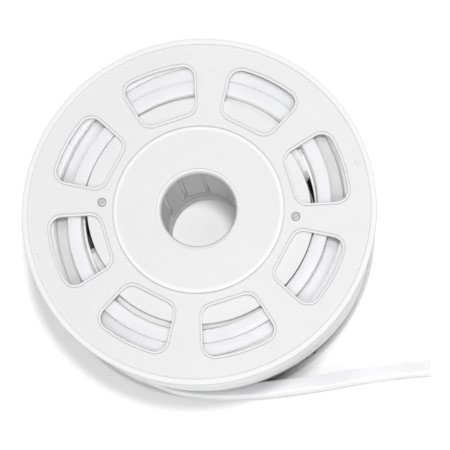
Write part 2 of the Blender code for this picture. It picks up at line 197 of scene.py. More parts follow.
def tail_path():
    """The free end's centre line, in points TAIL_POINT_SPACING apart."""
    start = Vector((math.cos(EXIT_ANGLE), math.sin(EXIT_ANGLE))) * EXIT_RADIUS
    start += Vector((-math.sin(EXIT_ANGLE), math.cos(EXIT_ANGLE))) * EXIT_GAP
    knots = [start] + [Vector(point) for point in TAIL_PLAN]
    padded = [2 * knots[0] - knots[1]] + knots + [2 * knots[-1] - knots[-2]]
    plan = [knots[0]]
    for a, b, c, d in zip(padded, padded[1:], padded[2:], padded[3:]):
        steps = max(1, round((c - b).length / TAIL_POINT_SPACING))
        plan += [between(a, b, c, d, step / steps) for step in range(1, steps + 1)]
    path = []
    for point in plan:
        share = (point.x - TAIL_LIFT_END) / (TAIL_LANDING - TAIL_LIFT_END)
        share = min(max(share, 0.0), 1.0)
        foot = TAIL_CARRIED_HEIGHT * (1.0 - share * share * (3.0 - 2.0 * share))
        path.append(Vector((point.x, point.y, foot + FLEX_HEIGHT / 2)))
    return path


def shader_node(tree, kind, inputs=None, **settings):
    """A shader node with its settings, and each input given as a value or as a socket to link."""
    made = tree.nodes.new("ShaderNode" + kind)
    for name, value in settings.items():
        setattr(made, name, value)
    for name, value in (inputs or {}).items():
        if isinstance(value, bpy.types.NodeSocket):
            tree.links.new(value, made.inputs[name])
        else:
            made.inputs[name].default_value = value
    return made


def colour_ramp(tree, factor, stops):
    """A colour ramp over (position, grey or colour) stops."""
    ramp = shader_node(tree, "ValToRGB", {"Fac": factor})
    elements = ramp.color_ramp.elements
    while len(elements) < len(stops):
        elements.new(0.5)
    for element, (position, colour) in zip(elements, stops):
        element.position = position
        element.color = (*colour, 1.0) if isinstance(colour, tuple) else (colour, colour, colour, 1.0)
    return ramp.outputs["Color"]


def new_material(name):
    """A material, its node tree and its Principled shader."""
    material = bpy.data.materials.new(name)
    material.use_nodes = True
    tree = material.node_tree
    return material, tree, tree.nodes["Principled BSDF"]


def mixed(tree, factor, first, second, blend_type="MIX"):
    """The colour between two colours, or one colour tinted by the other."""
    mix = shader_node(
        tree, "MixRGB", {"Fac": factor, "Color1": first, "Color2": second}, blend_type=blend_type
    )
    return mix.outputs["Color"]


def mapped(tree, value, low, high, to_low=0.0, to_high=1.0):
    """The value moved from one range to another, and held within it."""
    reach = {"Value": value, "From Min": low, "From Max": high, "To Min": to_low, "To Max": to_high}
    return shader_node(tree, "MapRange", reach).outputs["Result"]


def fine_grain_group():
    """The fine grain of a moulded or extruded surface, as a height from 0 to 1."""
    group = bpy.data.node_groups.new("Fine grain", "ShaderNodeTree")
    group.interface.new_socket("Grains per metre", in_out="INPUT", socket_type="NodeSocketFloat")
    group.interface.new_socket("Height", in_out="OUTPUT", socket_type="NodeSocketFloat")
    entry = group.nodes.new("NodeGroupInput")
    place = shader_node(group, "TexCoord").outputs["Object"]
    grain = shader_node(
        group,
        "TexNoise",
        {"Vector": place, "Scale": entry.outputs["Grains per metre"], "Detail": 3.0, "Roughness": 0.6},
    )
    way_out = group.nodes.new("NodeGroupOutput")
    group.links.new(grain.outputs["Fac"], way_out.inputs["Height"])
    return group


def dust_group():
    """Specks of dust that have settled on a surface, as a mask from 0 to 1."""
    group = bpy.data.node_groups.new("Settled dust", "ShaderNodeTree")
    group.interface.new_socket("Specks per metre", in_out="INPUT", socket_type="NodeSocketFloat")
    group.interface.new_socket("Mask", in_out="OUTPUT", socket_type="NodeSocketFloat")
    entry = group.nodes.new("NodeGroupInput")
    place = shader_node(group, "TexCoord").outputs["Object"]
    specks = shader_node(
        group,
        "TexVoronoi",
        {"Vector": place, "Scale": entry.outputs["Specks per metre"], "Randomness": 1.0},
    )
    small = mapped(group, specks.outputs["Distance"], 0.07, 0.03)
    patches = shader_node(group, "TexNoise", {"Vector": place, "Scale": 40.0, "Detail": 2.0})
    where = mapped(group, patches.outputs["Fac"], 0.5, 0.65)
    both = shader_node(group, "Math", operation="MULTIPLY")
    group.links.new(small, both.inputs[0])
    group.links.new(where, both.inputs[1])
    way_out = group.nodes.new("NodeGroupOutput")
    group.links.new(both.outputs["Value"], way_out.inputs["Mask"])
    return group


FINE_GRAIN = fine_grain_group()
SETTLED_DUST = dust_group()
# The upright sides are paler than the light face: partly the white body's own tone, partly painted light
# on walls that the lamps barely reach. The darkest colour is painted shade for the sunken middle turn.
JACKET_SIDE_PAINTED_LIGHT_COLOUR = (0.87, 0.87, 0.865)
JACKET_LIGHT_COLOUR = (0.69, 0.69, 0.705)
JACKET_SUNK_SHADE_COLOUR = (0.545, 0.545, 0.545)


def jacket_material():
    """Milky silicone: faint die lines, a little dust, sides paler partly by painted light, painted shade
    where sunk.
    """
    material, tree, shader = new_material("Flex jacket silicone")
    coordinates = shader_node(tree, "TexCoord")

    # Painted light: faces that look up get the light face's colour, and upright sides get the paler side
    # colour.
    facing = shader_node(tree, "SeparateXYZ", {"Vector": coordinates.outputs["Normal"]})
    light_face = mapped(tree, facing.outputs["Z"], 0.75, 0.95)
    body = colour_ramp(tree, light_face, [(0.0, JACKET_SIDE_PAINTED_LIGHT_COLOUR), (1.0, JACKET_LIGHT_COLOUR)])
    # Painted shade: where the middle turn has sunk, its light face is painted darker.
    sunk_shade = shader_node(tree, "Attribute", attribute_name="sunk_shade")
    sunk_shaded = mixed(tree, sunk_shade.outputs["Fac"], body, (*JACKET_SUNK_SHADE_COLOUR, 1.0))
    cloud = shader_node(
        tree, "TexNoise", {"Vector": coordinates.outputs["Object"], "Scale": 55.0, "Detail": 4.0}
    )
    clouding = colour_ramp(tree, cloud.outputs["Fac"], [(0.3, 0.965), (0.7, 1.0)])
    clouded = mixed(tree, 1.0, sunk_shaded, clouding, "MULTIPLY")
    dust = shader_node(tree, "Group", {"Specks per metre": 420.0}, node_tree=SETTLED_DUST)
    dusty = mixed(tree, dust.outputs["Mask"], clouded, (0.62, 0.60, 0.57, 1.0))
    tree.links.new(dusty, shader.inputs["Base Color"])

    stretched = shader_node(
        tree, "Mapping", {"Vector": coordinates.outputs["UV"], "Scale": (2600.0, 14.0, 1.0)}
    )
    die_lines = shader_node(
        tree, "TexNoise", {"Vector": stretched.outputs["Vector"], "Scale": 1.0, "Detail": 3.0}
    )
    grain = shader_node(tree, "Group", {"Grains per metre": 2200.0}, node_tree=FINE_GRAIN)
    die_bump = shader_node(
        tree, "Bump", {"Height": die_lines.outputs["Fac"], "Strength": 0.25, "Distance": 0.00008}
    )
    grain_bump = shader_node(
        tree,
        "Bump",
        {
            "Height": grain.outputs["Height"],
            "Normal": die_bump.outputs["Normal"],
            "Strength": 0.25,
            "Distance": 0.00004,
        },
    )
    tree.links.new(grain_bump.outputs["Normal"], shader.inputs["Normal"])
    sheen = mapped(tree, die_lines.outputs["Fac"], 0.3, 0.7, 0.42, 0.58)
    tree.links.new(sheen, shader.inputs["Roughness"])
    shader.inputs["Subsurface Weight"].default_value = 1.0
    shader.inputs["Subsurface Radius"].default_value = (1.0, 1.0, 1.0)
    shader.inputs["Subsurface Scale"].default_value = 0.0060
    shader.inputs["IOR"].default_value = 1.41
    return material


FLEX_JACKET = jacket_material()
tail_line = tail_path()
tail = flex_piece("flex_free_end", [(tail_line, False)], FLEX_JACKET, ["neon_flex_tail"])

# The wound flex: about 10 m in five rows, one above the other. The outermost turns climb down from row to
# row near the exit. The top row has three turns, outside the drum's collar. It leans outwards at two
# opposite places, and at two more its middle turn has sunk, with painted shade on its light face.
ROW_PITCH = 0.01216
PACK_BOTTOM = 0.0031
PACK_TOP = 0.0639
TURN_PITCH = 0.0081
WINDING_INNER_RADIUS = 0.0673
TOP_ROW_INNER_RADIUS = 0.0689
TURN_STEP = math.radians(2.0)
CROSSING_START = math.radians(50.0)
CROSSING_ANGLE = math.radians(40.0)
SINK = 0.0070
SINK_ANGLE = math.radians(-5.5)
LEAN = 0.0044
LEAN_ANGLE = math.radians(60.0)
# Where the painted shade on the sunken middle turn is strongest.
SUNK_SHADE_ANGLE = math.radians(17.0)
WAVER = 0.00004
SETTLING = 0.00008


def two_sided(angle, middle):
    """1 at the middle angle and opposite it, and 0 a quarter turn away."""
    return 0.5 + 0.5 * math.cos(2 * (angle - middle))


def unevenness(angle, turn):
    """A slow waver of the hand-guided winding, from -1 to 1, that closes on itself."""
    slow = math.sin(2 * angle + 1.7 * turn) + math.sin(3 * angle + 2.9 * turn)
    return (slow + math.sin(7 * angle + turn)) / 3


def turn_centre(inner_radius, turn):
    return inner_radius + (turn + 0.5) * TURN_PITCH


def ring_path(radius, height):
    """A closed turn whose radius and height are functions of the angle."""
    path = []
    for step in range(round(math.tau / TURN_STEP)):
        angle = step * TURN_STEP
        reach = radius(angle)
        path.append(Vector((reach * math.cos(angle), reach * math.sin(angle), height(angle))))
    return path


def top_row_turn(turn):
    """A closed run of the top row, set in where it has sunk, to stay between leaning neighbours."""
    centre = turn_centre(TOP_ROW_INNER_RADIUS, turn)
    middle = PACK_TOP - FLEX_HEIGHT / 2
    sinks = SINK if turn == 1 else 0.0

    def radius(angle):
        sunk = sinks * two_sided(angle, SINK_ANGLE)
        aside = LEAN * two_sided(angle, LEAN_ANGLE) * sunk / FLEX_HEIGHT
        return centre - aside + WAVER * unevenness(angle, turn)

    def height(angle):
        settled = SETTLING * (1 + unevenness(angle, turn))
        return middle - sinks * two_sided(angle, SINK_ANGLE) - settled

    path = ring_path(radius, height)
    angles = [math.atan2(point.y, point.x) for point in path]
    leans = [LEAN * two_sided(angle, LEAN_ANGLE) for angle in angles]
    # Painted shade on the sunken middle turn, strongest at one angle and at the opposite one.
    sunk_shade = [two_sided(angle, SUNK_SHADE_ANGLE) ** 3 if sinks else 0.0 for angle in angles]
    return path, True, leans, sunk_shade


def bottom_row_turn(turn):
    centre = turn_centre(WINDING_INNER_RADIUS, turn)

    def radius(angle):
        return centre + WAVER * unevenness(angle, turn + 3)

    def height(angle):
        return PACK_BOTTOM + FLEX_HEIGHT / 2 + SETTLING * (1 + unevenness(angle, turn + 6))

    return ring_path(radius, height)


def eased(share):
    share = min(max(share, 0.0), 1.0)
    return share * share * (3.0 - 2.0 * share)


def outermost_turns():
    """The last turns laid, in one run: out from the turn below, down row by row, and to the exit."""
    inner = turn_centre(WINDING_INNER_RADIUS, 2)
    outer = turn_centre(WINDING_INNER_RADIUS, 3)
    crossings = [EXIT_ANGLE + CROSSING_START - count * math.tau for count in (3, 2, 1)]
    climb_start = crossings[0] + CROSSING_ANGLE - math.tau
    start = climb_start - math.tau
    steps = round((EXIT_ANGLE - start) / TURN_STEP)
    path = []
    for step in range(steps + 1):
        angle = start + (EXIT_ANGLE - start) * step / steps
        row = 3 - sum(eased((angle - crossing) / CROSSING_ANGLE) for crossing in crossings)
        climb = eased((angle - climb_start) / CROSSING_ANGLE)
        leave = eased((angle - EXIT_ANGLE) / CROSSING_ANGLE + 1.0)
        radius = inner + (outer - inner) * climb + (EXIT_RADIUS - outer) * leave
        radius += WAVER * unevenness(angle, 9) * (1.0 - leave)
        height = PACK_BOTTOM + row * ROW_PITCH + FLEX_HEIGHT / 2
        path.append(Vector((radius * math.cos(angle), radius * math.sin(angle), height)))
    return path


winding_runs = [top_row_turn(turn) for turn in range(3)]
winding_runs += [(bottom_row_turn(turn), True) for turn in range(3)]
winding_runs.append((outermost_turns(), False))
flex_piece("flex_turns", winding_runs, FLEX_JACKET, ["neon_flex_winding"])

# The drum: two white polystyrene mouldings that meet at a line low in the bore, with pairs of fine joint
# lines up the bore. A stepped collar stands out at the top, up against the leaning flex, and has two
# sloping slots in which the flex's inner end comes up. The flanges are screwed to its ends.
BORE_RADIUS = 0.022
DRUM_RADIUS = 0.066
COLLAR_RADIUS = 0.0683
COLLAR_DEPTH = 0.0119
STEP_DOWN = 0.0042
STEP_DROP_AT_SLOTS = 0.0022
STEP_CLEARANCE = 0.0001
SLOT_ANGLE = math.radians(17.0)
SLOT_HALF_ANGLE = math.radians(17.0)
SLOT_OPEN_SHARE = 0.5
SLOT_DEPTHS = (0.0116, 0.0012)
SLOT_WIDTHS = (0.0020, 0.0046)
SLOT_END_REACH = 0.001
NO_SLOT_DEPTH = 0.00005
NO_SLOT_WIDTH = 0.0006
REEL_HEIGHT = 0.067
SEAM_HEIGHT = 0.0187
SEAM_WIDTH = 0.0024
SEAM_DEPTH = 0.0018
LOWER_LINE_HEIGHT = 0.0128
LOWER_LINE_WIDTH = 0.0020
JOINT_COUNT = 10
FIRST_JOINT_ANGLE = math.radians(85.0)
JOINT_SPACING = 0.0016
JOINT_WIDTH = 0.0004
JOINT_DEPTH = 0.0011
FOOT_REACH = 0.0036
FOOT_RISE = 0.0026
ROUND_STEPS = 180
PLASTIC_COLOUR = (0.635, 0.635, 0.635)
# The painted highlight colour of raised edges.
EDGE_HIGHLIGHT_COLOUR = (0.71, 0.71, 0.71)


def rounded(points):
    """An outline whose (radius, height, rounding) corners are turned into short curves."""
    outline = []
    count = len(points)
    for index, (x, z, rounding) in enumerate(points):
        corner = Vector((x, z))
        if rounding == 0.0:
            outline.append(corner)
            continue
        before = (Vector(points[index - 1][:2]) - corner).normalized() * rounding
        after = (Vector(points[(index + 1) % count][:2]) - corner).normalized() * rounding
        for step in range(CORNER_STEPS + 1):
            share = step / CORNER_STEPS
            outline.append(corner + before * (1 - share) ** 2 + after * share**2)
    return outline


def join_rings(work, rings):
    """Closes a surface through rings of points that all go round the same way."""
    for first, second in zip(rings, rings[1:] + rings[:1]):
        for side in range(len(first)):
            beyond = (side + 1) % len(first)
            work.faces.new((first[side], first[beyond], second[beyond], second[side]))


def turned_ring(work, points, angle, place=(0.0, 0.0)):
    turn_x, turn_y = math.cos(angle), math.sin(angle)
    return [
        work.verts.new((place[0] + point.x * turn_x, place[1] + point.x * turn_y, point.y))
        for point in rounded(points)
    ]


def add_turned(work, points, steps=ROUND_STEPS, place=(0.0, 0.0)):
    """A closed outline turned about an upright axis through the place."""
    angles = [step * math.tau / steps for step in range(steps)]
    join_rings(work, [turned_ring(work, points, angle, place) for angle in angles])


def plastic_material():
    """White moulded polystyrene: satin, faint flow marks, fine grain, scuffs, a little dust, painted edge
    highlights.
    """
    material, tree, shader = new_material("Reel polystyrene")
    place = shader_node(tree, "TexCoord").outputs["Object"]

    flow = shader_node(
        tree, "TexNoise", {"Vector": place, "Scale": 14.0, "Detail": 5.0, "Distortion": 1.2}
    )
    flow_colour = colour_ramp(
        tree,
        flow.outputs["Fac"],
        [(0.25, tuple(0.97 * part for part in PLASTIC_COLOUR)), (0.75, PLASTIC_COLOUR)],
    )
    # Painted highlight: raised edges are painted paler where the attribute marks them.
    highlight_layer = shader_node(tree, "Attribute", attribute_name="painted_edge_highlight")
    highlighted = mixed(tree, highlight_layer.outputs["Fac"], flow_colour, (*EDGE_HIGHLIGHT_COLOUR, 1.0))
    scuffs = shader_node(
        tree,
        "TexNoise",
        {"Vector": place, "Scale": 230.0, "Detail": 6.0, "Roughness": 0.7, "Distortion": 2.5},
    )
    scuff_mask = mapped(tree, scuffs.outputs["Fac"], 0.62, 0.74, to_high=0.35)
    scuffed = mixed(tree, scuff_mask, highlighted, (0.62, 0.62, 0.61, 1.0))
    dust = shader_node(tree, "Group", {"Specks per metre": 360.0}, node_tree=SETTLED_DUST)
    dusty = mixed(tree, dust.outputs["Mask"], scuffed, (0.60, 0.59, 0.57, 1.0))
    tree.links.new(dusty, shader.inputs["Base Color"])

    grain = shader_node(tree, "Group", {"Grains per metre": 3000.0}, node_tree=FINE_GRAIN)
    grain_bump = shader_node(
        tree, "Bump", {"Height": grain.outputs["Height"], "Strength": 0.3, "Distance": 0.00005}
    )
    sink_marks = shader_node(
        tree,
        "Bump",
        {
            "Height": flow.outputs["Fac"],
            "Normal": grain_bump.outputs["Normal"],
            "Strength": 0.4,
            "Distance": 0.0006,
        },
    )
    tree.links.new(sink_marks.outputs["Normal"], shader.inputs["Normal"])
    satin = mapped(tree, scuffs.outputs["Fac"], 0.35, 0.7, 0.48, 0.62)
    tree.links.new(satin, shader.inputs["Roughness"])
    shader.inputs["Subsurface Weight"].default_value = 0.2
    shader.inputs["Subsurface Radius"].default_value = (1.0, 1.0, 1.0)
    shader.inputs["Subsurface Scale"].default_value = 0.0012
    shader.inputs["IOR"].default_value = 1.55
    return material


REEL_PLASTIC = plastic_material()


def drum_outline(collar_radius, slot_inside, slot_floor):
    """The drum's outline, closed, with grooves for the mould line in the bore and one below it."""
    seam_low = SEAM_HEIGHT - SEAM_WIDTH / 2
    seam_high = SEAM_HEIGHT + SEAM_WIDTH / 2
    line_low = LOWER_LINE_HEIGHT - LOWER_LINE_WIDTH / 2
    line_high = LOWER_LINE_HEIGHT + LOWER_LINE_WIDTH / 2
    return [
        (BORE_RADIUS, PACK_TOP, 0.0),
        (slot_inside, PACK_TOP, 0.0),
        (slot_inside, slot_floor, 0.0),
        (collar_radius, slot_floor, 0.0),
        (collar_radius, PACK_TOP - COLLAR_DEPTH, 0.0),
        (DRUM_RADIUS, PACK_TOP - COLLAR_DEPTH, 0.0),
        (DRUM_RADIUS, PACK_BOTTOM, 0.0006),
        (BORE_RADIUS, PACK_BOTTOM, 0.0),
        (BORE_RADIUS, line_low, 0.0001),
        (BORE_RADIUS + SEAM_DEPTH, line_low, 0.0),
        (BORE_RADIUS + SEAM_DEPTH, line_high, 0.0),
        (BORE_RADIUS, line_high, 0.0001),
        (BORE_RADIUS, seam_low, 0.0001),
        (BORE_RADIUS + SEAM_DEPTH, seam_low, 0.0),
        (BORE_RADIUS + SEAM_DEPTH, seam_high, 0.0),
        (BORE_RADIUS, seam_high, 0.0001),
    ]


def slot_form(share):
    """The collar's radius and the slot's inner side and floor, this share of the way along a slot.

    The first part of a slot is open to the side and as deep as the collar.
    """
    inside = COLLAR_RADIUS - SLOT_WIDTHS[0] - share * (SLOT_WIDTHS[1] - SLOT_WIDTHS[0])
    if share < SLOT_OPEN_SHARE:
        return inside + NO_SLOT_DEPTH, inside, PACK_TOP - COLLAR_DEPTH + NO_SLOT_DEPTH
    depth = SLOT_DEPTHS[0] + share * (SLOT_DEPTHS[1] - SLOT_DEPTHS[0])
    return COLLAR_RADIUS, inside, PACK_TOP - depth


def add_drum(work):
    """The drum, turned, with its slots at two opposite places. A slot's floor climbs anticlockwise."""
    no_slot = (COLLAR_RADIUS, COLLAR_RADIUS - NO_SLOT_WIDTH, PACK_TOP - NO_SLOT_DEPTH)
    rings = []
    for step in range(ROUND_STEPS):
        angle = step * math.tau / ROUND_STEPS
        along = (angle - SLOT_ANGLE + math.pi / 2) % math.pi - math.pi / 2
        share = (along / SLOT_HALF_ANGLE + 1.0) / 2
        forms = [slot_form(share)] if -SLOT_END_REACH < share < 1.0 + SLOT_END_REACH else [no_slot]
        if abs(share) < SLOT_END_REACH:
            forms.insert(0, no_slot)
        elif abs(share - 1.0) < SLOT_END_REACH:
            forms.append(no_slot)
        rings += [turned_ring(work, drum_outline(*form), angle) for form in forms]
    join_rings(work, rings)


def add_collar_step(work):
    """The lower step round the collar, lowest by the slots. Its outer side follows the leaning flex."""
    bottom = PACK_TOP - COLLAR_DEPTH
    inside = COLLAR_RADIUS + STEP_CLEARANCE
    outside = TOP_ROW_INNER_RADIUS - STEP_CLEARANCE
    rings = []
    for step in range(ROUND_STEPS):
        angle = step * math.tau / ROUND_STEPS
        lean = LEAN * two_sided(angle, LEAN_ANGLE)
        down = STEP_DOWN + STEP_DROP_AT_SLOTS * two_sided(angle, SLOT_ANGLE) ** 4
        top = PACK_TOP - down
        top_radius = outside + lean * (1.0 - down / FLEX_HEIGHT)
        foot_radius = outside + lean * (1.0 - COLLAR_DEPTH / FLEX_HEIGHT)
        outline = [
            (inside, bottom, 0.0),
            (inside, top, 0.0),
            (top_radius, top, 0.0001),
            (foot_radius, bottom, 0.0),
        ]
        rings.append(turned_ring(work, outline, angle))
    join_rings(work, rings)


def joint_line_cutter():
    """Thin blades that cut the pairs of joint lines, with spread feet, into the bore above its seam."""
    work = bmesh.new()
    low, high = SEAM_HEIGHT + FOOT_RISE, REEL_HEIGHT
    foot_length = math.hypot(FOOT_REACH, FOOT_RISE)
    foot_slope = math.atan2(FOOT_REACH, FOOT_RISE)
    for joint in range(JOINT_COUNT):
        angle = FIRST_JOINT_ANGLE + joint * math.tau / JOINT_COUNT
        for side in (-1, 1):
            upright = (high - low, 0.0, side * JOINT_SPACING / 2, (low + high) / 2)
            foot_middle = side * (JOINT_SPACING + FOOT_REACH) / 2
            foot = (foot_length, side * foot_slope, foot_middle, SEAM_HEIGHT + FOOT_RISE / 2)
            for length, tilt, aside, height in (upright, foot):
                blade = bmesh.ops.create_cube(work, size=1.0)["verts"]
                bmesh.ops.scale(work, vec=(2 * JOINT_DEPTH, JOINT_WIDTH, length), verts=blade)
                lay = Matrix.Rotation(tilt, 3, "X")
                bmesh.ops.rotate(work, cent=(0, 0, 0), matrix=lay, verts=blade)
                turn = Matrix.Rotation(angle + aside / BORE_RADIUS, 3, "Z")
                bmesh.ops.translate(work, vec=(BORE_RADIUS, 0.0, height), verts=blade)
                bmesh.ops.rotate(work, cent=(0, 0, 0), matrix=turn, verts=blade)
    return cutter_piece("joint_line_cutter", work)


def cutter_piece(name, work):
    mesh = bpy.data.meshes.new(name)
    work.to_mesh(mesh)
    work.free()
    cutter = bpy.data.objects.new(name, mesh)
    bpy.context.collection.objects.link(cutter)
    return cutter


def cut_away(piece, cutter):
    """Cuts the cutter out of the piece for good and removes the cutter."""
    boolean = piece.modifiers.new("Cut", "BOOLEAN")
    boolean.operation = "DIFFERENCE"
    boolean.use_self = True
    boolean.object = cutter
    bpy.context.view_layer.update()
    graph = bpy.context.evaluated_depsgraph_get()
    cut_mesh = bpy.data.meshes.new_from_object(piece.evaluated_get(graph))
    piece.modifiers.remove(boolean)
    piece.data = cut_mesh
    bpy.data.objects.remove(cutter)
    smooth_by_area(piece)


drum_work = bmesh.new()
add_drum(drum_work)
add_collar_step(drum_work)
drum = finished_piece("drum_mouldings", drum_work, REEL_PLASTIC, ["drum"])
cut_away(drum, joint_line_cutter())

# The two flanges, white polystyrene, one moulding each: a thin plate with a bead round its rim, a raised
# boss with a rounded lip round the bore and eight windows, each in a narrow frame. Fine lines set the
# frames, the boss and the lip off, and raised edges are painted paler, as a painted highlight. Two screws
# hold each flange to the drum.
TOP_FLANGE_RADIUS = 0.105
BOTTOM_FLANGE_RADIUS = 0.1015
FLANGE_DEPTH = 0.0028
RAISED_HEIGHT = 0.0008
RIM_WIDTH = 0.0036
BOSS_RADIUS = 0.0506
FRAME_WIDTH = 0.0018
LINE_WIDTH = 0.0005
LINE_DEPTH = 0.0006
WINDOW_COUNT = 8
FIRST_WINDOW_ANGLE = math.radians(17.0)
WINDOW_HALF_ANGLE = math.radians(15.0)
WINDOW_INNER_RADIUS = 0.0582
WINDOW_OUTER_RADIUS = 0.0886
WINDOW_CORNER_RADIUS = 0.0070
FACE_CUT = 0.0003
EDGE_OVERLAP = 0.0020
BODY_ROUNDING = 0.0003
FACE_ROUNDING = 0.00012
FRAME_ROUNDING = 0.0006
FRAME_STAND = 0.0001
EDGE_BAND = 0.0016
EDGE_FADE = 0.0030
# How strongly the rim's bead gets the painted highlight.
RIM_HIGHLIGHT = 0.6
LIP_WIDTH = 0.0021
LIP_DEPTH = 0.0040
LIP_STEPS = 8
BOSS_STEPS = 120
SCREW_CIRCLE_RADIUS = 0.0576
COUNTERBORE_RADIUS = 0.0028
COUNTERBORE_DEPTH = 0.0012
COUNTERBORE_WALL = 0.0003
SCREW_HOLE_RADIUS = 0.0017
SCREW_STEPS = 32
SCREW_ANGLES = [FIRST_WINDOW_ANGLE - math.pi / WINDOW_COUNT + half * math.pi for half in (0, 1)]
GATE_SHARE = 0.0975 / TOP_FLANGE_RADIUS
NUB_RADIUS = 0.0014
NUB_RISE = 0.0004
NUB_STEPS = 24
GATE_ANGLES = [math.radians(15.6), math.radians(195.6)]


def polar(radius, angle):
    return Vector((radius * math.cos(angle), radius * math.sin(angle)))


def arc(centre, radius, start, end, steps):
    return [centre + polar(radius, start + (end - start) * step / steps) for step in range(steps + 1)]


def window_outline(grown, middle_angle):
    """A window's outline, grown all round, with a straight inner side and its middle at this angle."""
    corner = WINDOW_CORNER_RADIUS + grown
    outer_centre = WINDOW_OUTER_RADIUS - WINDOW_CORNER_RADIUS
    inner_centre = WINDOW_INNER_RADIUS + WINDOW_CORNER_RADIUS
    outer_angle = WINDOW_HALF_ANGLE - math.asin(WINDOW_CORNER_RADIUS / outer_centre)
    inner_angle = WINDOW_HALF_ANGLE - math.asin(WINDOW_CORNER_RADIUS / inner_centre)
    side = WINDOW_HALF_ANGLE + math.pi / 2
    upper = arc(polar(outer_centre, outer_angle), corner, outer_angle, side, 12)
    upper += arc(polar(inner_centre, inner_angle), corner, side, math.pi, 12)
    outer_side = arc(Vector((0.0, 0.0)), WINDOW_OUTER_RADIUS + grown, -outer_angle, outer_angle, 16)
    lower = [Vector((point.x, -point.y)) for point in reversed(upper)]
    turn = Matrix.Rotation(middle_angle, 2)
    return [turn @ point for point in upper + lower + outer_side[1:-1]]


def circle(centre, radius, steps):
    return arc(centre, radius, 0.0, math.tau, steps)[:-1]


def add_sheet(work, outlines, low, high, rounding):
    """A flat sheet between two heights, with holes, and with its edges rounded."""
    curve = bpy.data.curves.new("sheet", "CURVE")
    curve.dimensions = "2D"
    curve.fill_mode = "BOTH"
    curve.extrude = (high - low) / 2 - rounding
    curve.bevel_depth = rounding
    curve.bevel_resolution = 2
    curve.offset = -rounding
    for outline in outlines:
        spline = curve.splines.new("POLY")
        spline.points.add(len(outline) - 1)
        for knot, point in zip(spline.points, outline):
            knot.co = (point.x, point.y, 0.0, 1.0)
        spline.use_cyclic_u = True
    holder = bpy.data.objects.new("sheet", curve)
    bpy.context.collection.objects.link(holder)
    bpy.context.view_layer.update()
    graph = bpy.context.evaluated_depsgraph_get()
    mesh = bpy.data.meshes.new_from_object(holder.evaluated_get(graph))
    mesh.transform(Matrix.Translation((0.0, 0.0, (low + high) / 2)))
    work.from_mesh(mesh)
    bpy.data.objects.remove(holder)


def add_plate(work, radius, windows, holes):
    """The plate in two sheets. The gaps in the upper one are the fine lines round frames and boss."""
    centre = Vector((0.0, 0.0))
    inside = REEL_HEIGHT - FLANGE_DEPTH
    plate = REEL_HEIGHT - RAISED_HEIGHT
    line_floor = plate - LINE_DEPTH
    rim = circle(centre, radius - EDGE_OVERLAP, ROUND_STEPS)
    boss = circle(centre, BOSS_RADIUS - EDGE_OVERLAP, BOSS_STEPS)
    frames = [window_outline(FRAME_WIDTH - LINE_WIDTH, angle) for angle in windows]
    add_sheet(work, [rim, boss] + frames + holes, inside, line_floor, BODY_ROUNDING)
    round_boss = circle(centre, BOSS_RADIUS + LINE_WIDTH, BOSS_STEPS)
    round_frames = [window_outline(FRAME_WIDTH, angle) for angle in windows]
    face_edges = [rim, round_boss] + round_frames + holes
    add_sheet(work, face_edges, line_floor - FACE_CUT, plate, FACE_ROUNDING)


def add_raised_edges(work, radius, windows, highlight_layer):
    """The window frames, the rim's bead and the boss with its lip, with a painted highlight on their
    edges.
    """
    inside = REEL_HEIGHT - FLANGE_DEPTH
    plate = REEL_HEIGHT - RAISED_HEIGHT
    rim_inside = radius - RIM_WIDTH
    lip_edge = BORE_RADIUS + LIP_WIDTH
    line_floor = REEL_HEIGHT - LINE_DEPTH
    first_edge = len(work.verts)
    frames = [window_outline(FRAME_WIDTH - LINE_WIDTH, angle) for angle in windows]
    through = [window_outline(0.0, angle) for angle in windows]
    add_sheet(work, frames + through, PACK_TOP, plate + FRAME_STAND, FRAME_ROUNDING)
    bead = [
        (rim_inside, inside, 0.0),
        (rim_inside, REEL_HEIGHT, 0.0007),
        (radius, REEL_HEIGHT, 0.0009),
        (radius, inside, 0.0004),
    ]
    add_turned(work, bead)
    lip = []
    for step in range(LIP_STEPS + 1):
        angle = math.pi / 2 * step / LIP_STEPS
        drop = min(LIP_DEPTH * (1.0 - math.sin(angle)), FLANGE_DEPTH)
        lip.append((lip_edge - LIP_WIDTH * math.cos(angle), REEL_HEIGHT - drop, 0.0))
    boss = [
        (lip_edge + 0.0001, line_floor, 0.0),
        (lip_edge + 0.0001 + LINE_WIDTH, line_floor, 0.0),
        (lip_edge + 0.0002 + LINE_WIDTH, REEL_HEIGHT, 0.0),
        (BOSS_RADIUS - EDGE_FADE, REEL_HEIGHT, 0.0),
        (BOSS_RADIUS - EDGE_BAND, REEL_HEIGHT, 0.0),
        (BOSS_RADIUS, REEL_HEIGHT, 0.0009),
        (BOSS_RADIUS, inside, 0.0),
    ]
    add_turned(work, lip + boss)
    # Painted highlight: full on the frames, the lip and the boss's edge, weaker on the rim's bead.
    for vertex in list(work.verts)[first_edge:]:
        reach = math.hypot(vertex.co.x, vertex.co.y)
        if reach < lip_edge + 0.0002 or reach > BOSS_RADIUS - EDGE_BAND - 0.0001:
            vertex[highlight_layer] = RIM_HIGHLIGHT if reach > rim_inside - 0.0001 else 1.0


